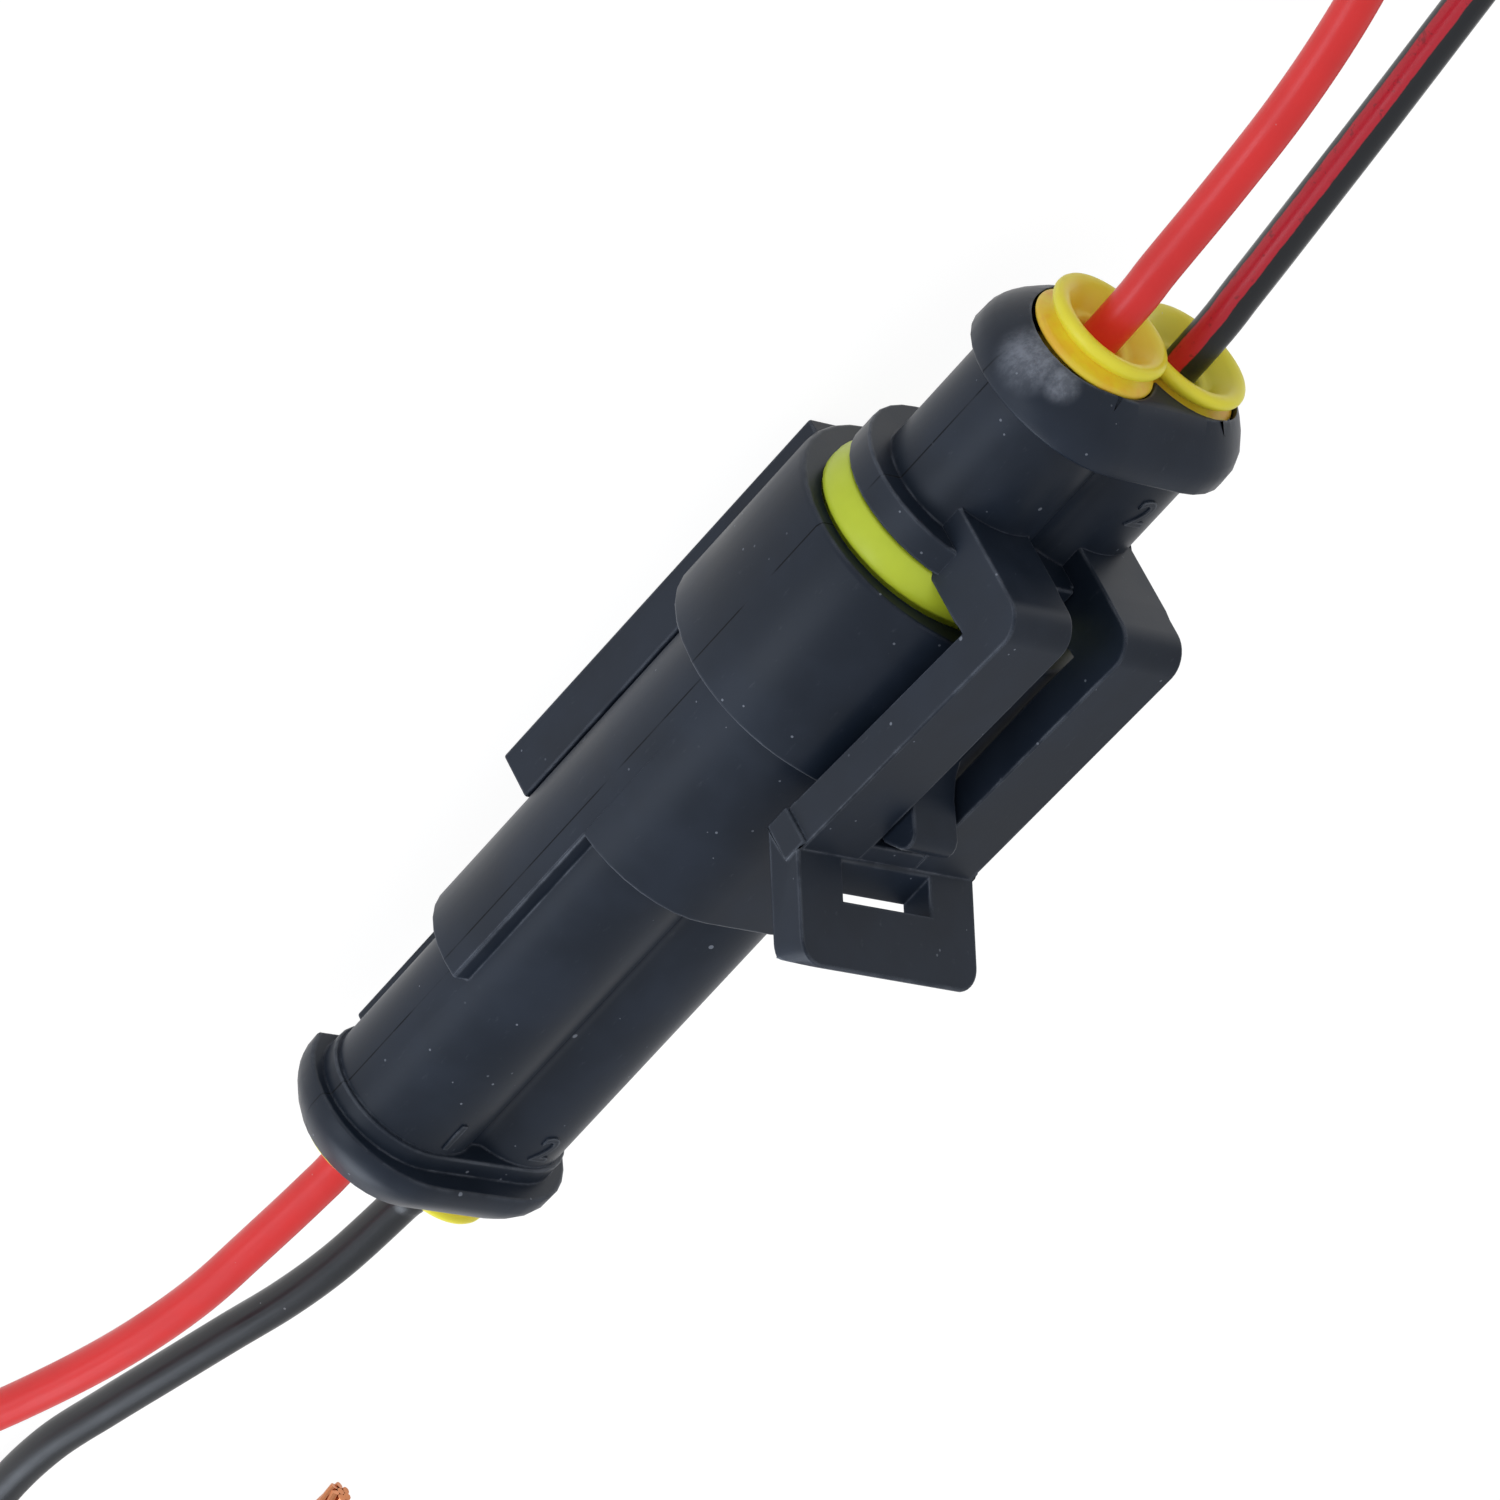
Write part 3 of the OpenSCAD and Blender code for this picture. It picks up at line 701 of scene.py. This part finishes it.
@dataclass
class LatchLever(Moulding):
    """The lever, whose two legs run on down into the plug's collar."""

    cut_height: float = 7.5 * MM     # heights here are from the contact axis
    cut_slope: float = 0.042
    level: float = 7.0 * MM          # where the leg starts to run straight down
    flare: float = 0.04 * MM         # how much wider it is from there
    sink: float = 2.6 * MM           # where it ends, inside the collar
    leg_middle: float = 3.8 * MM     # across, from the lever's middle
    stages: int = 11
    bend_from: float = 5.2 * MM
    bend_to: float = 7.2 * MM

    def hinge(self) -> Vector:
        """The hinge line's middle."""
        return Vector(frame["record"]["behaviour"]["joints"][0]["pos_m"])

    def shape(self, bm: bmesh.types.BMesh) -> None:
        """Cuts the round roots off and runs the legs on down in stages.

        Args:
            bm: the copy to work on.
        """
        hinge = self.hinge()
        cut = bmesh.ops.bisect_plane(bm, geom=[*bm.verts, *bm.edges, *bm.faces], dist=CUT,
                                     plane_co=(hinge.x, 0, AXIS_HEIGHT + self.cut_height),
                                     plane_no=(-self.cut_slope, 0, 1), clear_inner=True)
        rim = [e for e in cut["geom_cut"] if isinstance(e, bmesh.types.BMEdge)]
        for stage in range(self.stages):
            made = bmesh.ops.extrude_edge_only(bm, edges=rim)["geom"]
            rim = [e for e in made if isinstance(e, bmesh.types.BMEdge)]
            height = self.level + (self.sink - self.level) * stage / (self.stages - 1)
            for v in {v for e in rim for v in e.verts}:
                if stage == 0:
                    middle = Vector((hinge.x, math.copysign(self.leg_middle, v.co.y)))
                    v.co.x += math.copysign(self.flare, v.co.x - middle.x)
                    v.co.y += math.copysign(self.flare, v.co.y - middle.y)
                v.co.z = AXIS_HEIGHT + height
        bmesh.ops.holes_fill(bm, edges=rim, sides=0)
        bmesh.ops.recalc_face_normals(bm, faces=bm.faces)

    def build(self) -> bpy.types.Object:
        """Makes the lever and bakes its place into its mesh.

        Returns:
            The new piece.
        """
        bm = self.copy()
        self.shape(bm)
        piece = self.dress(bm, self.round_edges(bm))
        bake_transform(piece)
        return piece


# ---------- seals ----------
@dataclass
class LippedSeal:
    """A wire seal turned about its wire: a ribbed body in the pocket and two rounded lips."""

    # attribute that says where shade is painted on the seal
    SHADE_LAYER = "seal_depth"

    node: str
    rear_x: float
    way: int
    side: int
    proud: float
    hole: float = 1.05               # radii in mm
    core: float = 2.3
    rib: float = 2.62
    lip: float = 3.24
    segments: int = 72

    def profile(self) -> list[tuple[float, float, float]]:
        """Works out the closed section.

        Returns:
            Its points as radius, distance beyond the rear face and share of painted shade, lengths in mm.
        """
        p, h, r = self.proud / MM, self.hole, self.lip
        core, rib = self.core, self.rib
        body = [(h, -6.35), (core, -6.35), (core, -6.0), (rib, -5.7), (rib, -5.35), (core, -5.05),
                (core, -4.2), (rib, -3.9), (rib, -3.55), (core, -3.25)]
        ring = [(core, p - 2.2), (2.75, p - 1.9), (3.1, p - 1.78), (r + 0.08, p - 1.68),
                (r + 0.14, p - 1.56), (r + 0.14, p - 1.44), (r + 0.06, p - 1.34), (r - 0.1, p - 1.27),
                (r - 0.34, p - 1.18)]
        waist = [(r - 0.54, p - 1.04), (r - 0.6, p - 0.98)]
        lip = [(r - 0.46, p - 0.88), (r - 0.22, p - 0.74), (r - 0.06, p - 0.56), (r, p - 0.38),
               (r - 0.02, p - 0.2), (r - 0.1, p - 0.07), (r - 0.24, p), (r - 0.42, p), (r - 0.62, p - 0.06),
               (r - 0.82, p - 0.22), (r - 1.1, p - 0.55), (r - 1.4, p - 0.86), (h + 0.66, p - 1.05),
               (h + 0.5, p - 1.08), (h + 0.34, p - 1.14), (h + 0.18, p - 1.3), (h + 0.06, p - 1.55),
               (h, p - 1.9)]
        # painted shade: most on the ring low by the pocket, some at the waist, none on the body and lip
        shade_shares = ((body, 0.0), (ring, 0.85), (waist, 0.5), (lip, 0.0))
        return [(radius, reach, deep) for part, deep in shade_shares for radius, reach in part]

    def build(self) -> bpy.types.Object:
        """Spins the section and marks where shade is painted.

        Returns:
            The new piece.
        """
        y = self.side * PITCH / 2
        bm = bmesh.new()
        # share of painted shade, kept on each vertex
        depth = bm.verts.layers.float.new(self.SHADE_LAYER)
        ring = []
        for radius, reach, deep in self.profile():
            v = bm.verts.new((self.rear_x + self.way * reach * MM, y, AXIS_HEIGHT + radius * MM))
            v[depth] = deep
            ring.append(v)
        edges = [bm.edges.new(pair) for pair in zip(ring, ring[1:] + ring[:1])]
        bmesh.ops.spin(bm, geom=[*ring, *edges], cent=(0, y, AXIS_HEIGHT), axis=(1, 0, 0),
                       dvec=(0, 0, 0), angle=2 * math.pi, steps=self.segments, use_merge=True)
        bmesh.ops.remove_doubles(bm, verts=bm.verts, dist=WELD)
        bmesh.ops.recalc_face_normals(bm, faces=bm.faces)
        piece = finish_object(f"{self.node}_turned", mesh_from(bm, self.node, 50), Finish.WIRE_SEAL)
        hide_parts(self.node)
        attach(piece, "connector")
        return piece


# ---------- cavity numbers ----------
@dataclass
class CavityNumber:
    """A small raised number on the crest of a lobe, read with its top towards the plug's wires."""

    name: str
    digit: str
    x: float
    y: float
    lobe_side: int
    height: float = 1.75 * MM
    rise: float = 0.09 * MM
    lobe_radius: float = 4.0 * MM
    capital: float = 0.73            # height of a digit as a share of the font's size
    heavier: float = 0.012           # growth of its outline as a share of that size
    sunk: float = 0.15               # how much of its rise lies under the lobe's surface
    edge: float = 0.25               # its rounded edge as a share of its rise

    def flat(self) -> bpy.types.Mesh:
        """Makes the digit while it is still flat.

        Returns:
            Its raised mesh.
        """
        data = bpy.data.curves.new(self.name, "FONT")
        data.body = self.digit
        data.size = self.height / self.capital
        data.align_x = "CENTER"
        data.align_y = "CENTER"
        data.extrude = self.rise
        data.offset = self.heavier * data.size
        data.bevel_depth = self.edge * self.rise
        data.bevel_resolution = 1
        text = bpy.data.objects.new(self.name, data)
        bpy.context.scene.collection.objects.link(text)
        bpy.context.view_layer.update()
        finished = text.evaluated_get(bpy.context.evaluated_depsgraph_get())
        mesh = bpy.data.meshes.new_from_object(finished)
        bpy.data.objects.remove(text)
        return mesh

    def build(self) -> bpy.types.Object:
        """Wraps the digit round its lobe.

        Returns:
            The new piece.
        """
        bm = bmesh.new()
        bm.from_mesh(self.flat())
        bmesh.ops.remove_doubles(bm, verts=bm.verts, dist=WELD)
        centre = self.lobe_side * PITCH / 2
        for v in bm.verts:
            across, along, out = v.co
            angle = (self.y - centre - across) / self.lobe_radius
            reach = self.lobe_radius + out - self.sunk * self.rise
            v.co = (self.x + along, centre + reach * math.sin(angle),
                    AXIS_HEIGHT + reach * math.cos(angle))
        bmesh.ops.recalc_face_normals(bm, faces=bm.faces)
        mesh = bpy.data.meshes.new(self.name)
        bm.to_mesh(mesh)
        bm.free()
        piece = finish_object(self.name, mesh, Finish.HOUSING)
        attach(piece, "connector")
        return piece


# ---------- wires ----------
@dataclass
class CordMesh:
    """A tube swept along a smooth line through given points."""

    SECTION = "cord_section"

    points: list
    radius: float
    sides: int = 24
    step: float = 0.6 * MM

    def line(self) -> list[Vector]:
        """Runs a smooth curve through the given points.

        Returns:
            Evenly spaced points of it.
        """
        pts = [Vector(p) for p in self.points]
        ends = [2 * pts[0] - pts[1], *pts, 2 * pts[-1] - pts[-2]]
        out: list[Vector] = []
        for a, b, c, d in zip(ends, ends[1:], ends[2:], ends[3:]):
            count = max(1, round((c - b).length / self.step))
            for i in range(count):
                t = i / count
                curve = (2 * b + (c - a) * t + (2 * a - 5 * b + 4 * c - d) * t ** 2
                         + (3 * b - a - 3 * c + d) * t ** 3)
                out.append(0.5 * curve)
        out.append(pts[-1])
        return out

    def sweep(self) -> tuple[bmesh.types.BMesh, list[Vector]]:
        """Sweeps the tube.

        Returns:
            The bmesh, and the centres of its rings.
        """
        centres = self.line()
        bm = bmesh.new()
        section = bm.verts.layers.float_vector.new(self.SECTION)
        ring: list = []
        along = 0.0
        for i, centre in enumerate(centres):
            ahead = (centres[min(i + 1, len(centres) - 1)] - centres[max(i - 1, 0)]).normalized()
            side = ahead.cross(Vector((0, 0, 1))).normalized()
            turn = Matrix((side, ahead.cross(side), ahead)).transposed().to_4x4()
            made = bmesh.ops.create_circle(bm, segments=self.sides, radius=self.radius,
                                           matrix=Matrix.Translation(centre) @ turn)
            along += (centre - centres[i - 1]).length if i else 0.0
            for j, v in enumerate(made["verts"]):
                angle = 2 * math.pi * j / self.sides
                v[section] = (-math.sin(angle), math.cos(angle), along / (2 * self.radius))
            for j in range(self.sides if ring else 0):
                k = (j + 1) % self.sides
                bm.faces.new((ring[j], ring[k], made["verts"][k], made["verts"][j]))
            if not ring:
                bm.faces.new(made["verts"])
            ring = made["verts"]
        bm.faces.new(ring)
        bmesh.ops.recalc_face_normals(bm, faces=bm.faces)
        return bm, centres


@dataclass
class Wire:
    """One wire from its crimp through its seal to its stripped end."""

    name: str
    finish: Finish
    slot: str
    crimp_x: float
    rear_x: float
    proud: float
    side: int
    way: int
    route: list
    diameter: float = 2.0 * MM
    strip: float = 6.0 * MM
    strand_diameter: float = 1.3 * MM
    strand_count: int = 7            # six round one
    strand_twist: float = 14.0       # degrees from one point of a strand to the next
    strand_points: int = 13
    strand_from: float = 0.005       # start and length as shares of the stripped end
    strand_share: float = 0.985
    strand_sides: int = 10
    strand_step: float = 0.5 * MM

    def points(self) -> list[tuple[float, float, float]]:
        """Places the route behind the wire's own seal.

        Returns:
            The wire's points in the shared frame, in metres.
        """
        y = self.side * PITCH / 2
        tip_x = self.rear_x + self.way * self.proud
        start = [(self.crimp_x, y, AXIS_HEIGHT), (tip_x, y, AXIS_HEIGHT)]
        return start + [
            (self.rear_x + self.way * out * MM, y + across * MM, AXIS_HEIGHT + height * MM)
            for out, across, height in self.route
        ]

    def strands(self, end: Vector, heading: Vector) -> bpy.types.Object:
        """Seven twisted strands past the insulation.

        Args:
            end: centre of the insulation's cut end.
            heading: direction of the wire there.

        Returns:
            The bundle as one piece.
        """
        thick = self.strand_diameter / 3
        side = heading.cross(Vector((0, 0, 1))).normalized()
        up = side.cross(heading)
        bm = bmesh.new()
        for k in range(self.strand_count):
            reach = 0.0 if k == self.strand_count - 1 else thick
            places = []
            for i in range(self.strand_points):
                angle = math.radians(60 * k + self.strand_twist * i)
                along = i / (self.strand_points - 1) * self.strand_share + self.strand_from
                at = end + heading * self.strip * along
                places.append(at + (side * math.cos(angle) + up * math.sin(angle)) * reach)
            one, _ = CordMesh(places, thick / 2, self.strand_sides, self.strand_step).sweep()
            part = bpy.data.meshes.new("strand")
            one.to_mesh(part)
            one.free()
            bm.from_mesh(part)
            bpy.data.meshes.remove(part)
        name = f"{self.name}_copper"
        return finish_object(name, mesh_from(bm, name), Finish.COPPER)

    def build(self) -> None:
        cord = CordMesh(self.points(), self.diameter / 2)
        bm, centres = cord.sweep()
        piece = finish_object(f"{self.name}_insulation", mesh_from(bm, self.name, 60), self.finish)
        end = centres[-1]
        bare = self.strands(end, (centres[-1] - centres[-2]).normalized())
        for made, node, slot in ((piece, self.name, self.slot),
                                 (bare, self.name.replace("wire", "strands"), "strands")):
            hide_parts(node)
            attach(made, "connector")
        length = sum((b - a).length for a, b in zip(centres, centres[1:]))
        self.side * PITCH / 2


# Routes beyond the rear face: distance out, shift across, height from the contact axis, in mm
PLUG_ROUTE_1 = [(5, -0.1, -0.3), (10, -0.2, -0.7), (15, -0.2, -1.2), (20, 0, -2), (25, 0.5, -3.1),
                (30, 1.2, -4.4), (35, 2, -5.7), (40, 3.2, -6.7), (44, 5.2, -7), (47.4, 8.4, -7),
                (49.2, 12.6, -7), (48.8, 17.2, -7), (46, 20.8, -7), (41.6, 22.6, -7), (36.6, 22.8, -7),
                (31.6, 22.2, -7), (26.6, 21.4, -7)]
PLUG_ROUTE_2 = [(5, 0, -0.3), (10, 0, -0.8), (15, -0.1, -1.4), (20, -0.4, -2.2), (25, -0.9, -3.2),
                (30, -1.5, -4.5), (35, -2.2, -5.8), (40, -3.4, -6.8), (44, -5.4, -7), (47.2, -8.6, -7),
                (48.8, -12.8, -7), (48.2, -17.4, -7), (45.2, -21, -7), (40.8, -22.8, -7), (35.8, -23.2, -7),
                (30.8, -22.8, -7), (25.8, -22.2, -7)]
CAP_ROUTE_1 = [(4, 0, -0.1), (9, 0, -0.5), (13, 0, -0.9), (17, 0.2, -1.6), (21, 0.5, -2.6), (25.6, 1, -4),
               (30, 1.8, -5.4), (34.6, 3.2, -6.6), (38.8, 5.4, -7), (42, 8.8, -7), (43.6, 13.2, -7),
               (43, 17.8, -7), (40, 21.4, -7), (35.6, 23.2, -7), (30.6, 23.6, -7), (25.6, 23.2, -7),
               (20.6, 22.6, -7)]
CAP_ROUTE_2 = [(4, -0.1, -0.2), (9, -0.2, -0.7), (13, -0.1, -1.4), (17, 0.1, -2.4), (21.6, 0.2, -3.6),
               (26, 0.2, -4.8), (30.6, 0.1, -6), (35.4, -0.6, -6.8), (40.4, -1.8, -7), (45, -3.4, -7),
               (49.4, -6, -7), (52.4, -9.8, -7), (53.4, -14.4, -7), (51.8, -18.8, -7), (48.2, -21.6, -7),
               (43.6, -22.6, -7), (38.6, -22.6, -7)]


# ---------- stage ----------
@dataclass(frozen=True)
class Lamp:
    """One wide soft lamp, place and size in metres, power in watts."""

    name: str
    place: tuple[float, float, float]
    size: float
    power: float


@dataclass
class Studio:
    """Camera, pale floor and soft light."""

    aim: Vector = field(default_factory=lambda: Vector((0.25 * MM, 0, AXIS_HEIGHT)))
    right: Vector = field(default_factory=lambda: Vector((0.5999, -0.6947, 0.3969)))
    up: Vector = field(default_factory=lambda: Vector((0.6502, 0.1343, -0.7478)))
    distance: float = 495.1 * MM
    shift_right: float = 0.667 * MM
    shift_up: float = -0.453 * MM
    sensor: float = 36.0             # sensor width and focal length in mm
    focal: float = 250.128
    surround: float = 0.61
    lamps: tuple[Lamp, ...] = (
        Lamp("key", (0.25, 0.35, 0.55), 0.5, 0.15),
        Lamp("fill", (-0.7, 0.15, 0.14), 0.5, 3.0),
        Lamp("side", (-0.2, 0.6, 0.06), 0.45, 1.3),
    )
    lamp_colour: Colour = (0.8, 0.88, 1.0)
    floor_colour: Colour = (0.8, 0.8, 0.8)
    floor_shown: Colour = (0.16, 0.16, 0.16)     # what takes the shadow that the camera sees
    floor_glow: float = 0.94
    floor_half: float = 3.0

    def camera(self) -> None:
        """Makes the camera at the picture's viewing angle."""
        back = self.right.cross(self.up).normalized()
        data = bpy.data.cameras.new("camera")
        data.lens = self.focal
        data.sensor_width = self.sensor
        data.clip_start = 0.05
        data.clip_end = 5.0
        camera = bpy.data.objects.new("camera", data)
        bpy.context.scene.collection.objects.link(camera)
        level = back.cross(self.right).normalized()
        turn = Matrix((self.right.normalized(), level, back)).transposed()
        place = (self.aim + back * self.distance
                 - self.right * self.shift_right - self.up * self.shift_up)
        camera.matrix_world = Matrix.Translation(place) @ turn.to_4x4()
        bpy.context.scene.camera = camera

    def floor(self) -> None:
        """Makes the pale floor: nearly white to the camera, and it keeps the object's shadow."""
        bm = bmesh.new()
        bmesh.ops.create_grid(bm, x_segments=1, y_segments=1, size=self.floor_half)
        mesh = bpy.data.meshes.new("floor")
        bm.to_mesh(mesh)
        bm.free()
        g = Graph("pale_floor")
        g.surface(Base_Color=self.floor_colour, Roughness=0.9)
        g.shader.inputs["Specular IOR Level"].default_value = 0.0
        shown = g.node("ShaderNodeBsdfDiffuse", {}, {"Color": self.floor_shown})
        white = {"Color": (1.0, 1.0, 1.0), "Strength": self.floor_glow}
        glow = g.node("ShaderNodeEmission", {}, white)
        pale = g.node("ShaderNodeAddShader", {}, {0: shown, 1: glow})
        path = "ShaderNodeLightPath"
        seen = g.node(path, {}, {}, "Is Camera Ray").most(g.node(path, {}, {}, "Is Glossy Ray"))
        seen = seen.most(g.node(path, {}, {}, "Is Transmission Ray"))
        plain = Flow(g, g.shader.outputs[0])
        mixed = g.node("ShaderNodeMixShader", {}, {0: seen, 1: plain, 2: pale})
        g.tree.links.new(mixed.socket, g.output.inputs["Surface"])
        mesh.materials.append(g.material)
        piece = bpy.data.objects.new("floor", mesh)
        bpy.context.scene.collection.objects.link(piece)

    def lights(self) -> None:
        """Adds wide soft lamps."""
        for lamp in self.lamps:
            data = bpy.data.lights.new(lamp.name, "AREA")
            data.size = lamp.size
            data.energy = lamp.power
            data.color = self.lamp_colour
            made = bpy.data.objects.new(lamp.name, data)
            made.location = lamp.place
            made.rotation_mode = "QUATERNION"
            made.rotation_quaternion = (Vector(lamp.place) - self.aim).to_track_quat("Z", "Y")
            bpy.context.scene.collection.objects.link(made)

    def world(self) -> None:
        """Sets a plain white surround."""
        world = bpy.data.worlds.new("surround")
        bpy.context.scene.world = world
        world.use_nodes = True
        background = world.node_tree.nodes["Background"]
        background.inputs["Color"].default_value = (1, 1, 1, 1)
        background.inputs["Strength"].default_value = self.surround

    def build(self) -> None:
        """Makes the whole stage."""
        self.camera()
        self.floor()
        self.lights()
        self.world()
        bpy.context.scene.view_settings.view_transform = "Standard"


# ---------- the connector ----------
CONTACTS = (
    ("plug_contact_lock", "contact_lock", Finish.LOCK),
    ("cap_contact_lock", "contact_lock", Finish.LOCK),
    ("socket_contact_1", "contact", Finish.CONTACT),
    ("socket_contact_2", "contact", Finish.CONTACT),
    ("pin_contact_1", "contact", Finish.CONTACT),
    ("pin_contact_2", "contact", Finish.CONTACT),
)
# name, digit, distance from the mouth, place across, side of its lobe
NUMBERS = (
    ("cap_number_1", "1", -39.1 * MM, 3.0 * MM, 1),
    ("cap_number_2", "2", -39.0 * MM, -3.15 * MM, -1),
    ("plug_number_2", "2", 7.75 * MM, -3.3 * MM, -1),
)
TUCKED_PROUD = 0.4 * MM              # reach of the cap lip that the flange hides


def make_wires() -> list[Wire]:
    """Lists the four wires.

    Returns:
        The wires, each from its crimp out.
    """
    plug = {"crimp_x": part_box("socket_contact_1")[1].x, "rear_x": PLUG_REAR_X, "way": 1}
    cap = {"crimp_x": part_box("pin_contact_1")[0].x, "rear_x": CAP_REAR_X, "way": -1}
    return [
        Wire("plug_wire_1", Finish.RED, "wire_red", proud=1.4 * MM, side=1, route=PLUG_ROUTE_1, **plug),
        Wire("plug_wire_2", Finish.STRIPED, "wire_black", proud=0.8 * MM, side=-1, route=PLUG_ROUTE_2,
             **plug),
        Wire("cap_wire_1", Finish.RED, "wire_red", proud=0.75 * MM, side=1, route=CAP_ROUTE_1, **cap),
        Wire("cap_wire_2", Finish.BLACK, "wire_black", proud=1.7 * MM, side=-1, route=CAP_ROUTE_2, **cap),
    ]


def main() -> None:
    """Builds the connector and its stage."""
    logging.basicConfig(level=logging.INFO, format="%(name)s: %(message)s")
    Studio().build()
    wires = make_wires()
    for wire in wires:
        wire.build()
    for wire in wires:
        tucked = wire.way < 0 < wire.side
        LippedSeal(wire.name.replace("wire", "wire_seal"), wire.rear_x, wire.way, wire.side,
                   TUCKED_PROUD if tucked else wire.proud).build()
    Moulding("cap_housing", "connector", "housing", Finish.HOUSING).build()
    PlugMoulding("plug_housing", "connector", "housing", Finish.HOUSING).build()
    LatchLever("latch_lever", "latch", "housing", Finish.HOUSING).build()
    Moulding("interface_seal", "connector", "interface_seal", Finish.INTERFACE_SEAL,
             round_over=0.2 * MM, steps=3, fold=25.0).build()
    for node, slot, finish in CONTACTS:
        Moulding(node, "connector", slot, finish, round_over=0.0).build()
    for name, digit, reach, across, side in NUMBERS:
        CavityNumber(name, digit, MOUTH_X + reach, across, side).build()


if __name__ == "__main__":
    main()
